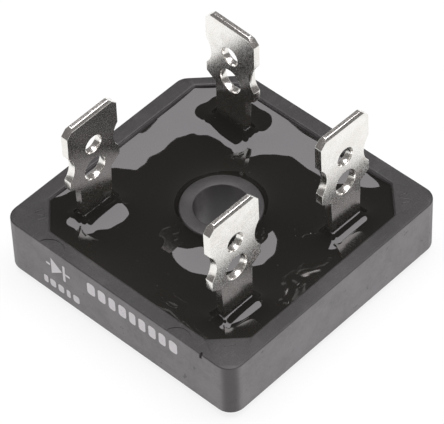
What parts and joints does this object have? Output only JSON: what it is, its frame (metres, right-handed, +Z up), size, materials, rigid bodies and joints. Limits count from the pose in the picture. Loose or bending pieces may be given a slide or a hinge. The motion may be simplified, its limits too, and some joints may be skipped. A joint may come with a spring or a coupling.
{
  "type": "bridge rectifier",
  "caption": "Square potted bridge rectifier block with a centre screw hole, a bevelled corner, a metal base and upright blade terminals.",
  "frame": {"origin": "centre of the underside of the metal base, on the axis of the screw hole", "axes": "+Z up out of the potted side, -Y towards the long side with the printed marks, the minus corner at +X -Y and the bevelled plus corner at -X +Y"},
  "size_m": [0.0286, 0.0286, 0.0189],
  "materials": {
    "case_black": "moulded black plastic, finely speckled, with light scuffs and scratches",
    "potting_black": "glossy black casting resin",
    "tin_plate": "bright tin plate, rolled and stamped",
    "nickel_plate": "satin plated metal",
    "copper": "bare copper sheet",
    "solder": "dull solder",
    "silicon": "polished glass-coated silicon"
  },
  "bodies": {
    "root": {"case": "case_black", "metal_base": "nickel_plate", "potting": "potting_black", "pad_minus": "copper", "pad_ac_right": "copper", "pad_plus": "copper", "pad_ac_left": "copper", "terminal_minus": "tin_plate", "terminal_ac_right": "tin_plate", "terminal_plus": "tin_plate", "terminal_ac_left": "tin_plate", "foot_solder_minus": "solder", "foot_solder_ac_right": "solder", "foot_solder_plus": "solder", "foot_solder_ac_left": "solder", "die_1": "silicon", "die_2": "silicon", "die_3": "silicon", "die_4": "silicon", "die_solder_1": "solder", "die_solder_2": "solder", "die_solder_3": "solder", "die_solder_4": "solder", "strap_solder_1": "solder", "strap_solder_2": "solder", "strap_solder_3": "solder", "strap_solder_4": "solder", "strap_1": "copper", "strap_2": "copper", "strap_3": "copper", "strap_4": "copper"}
  },
  "joints": []
}
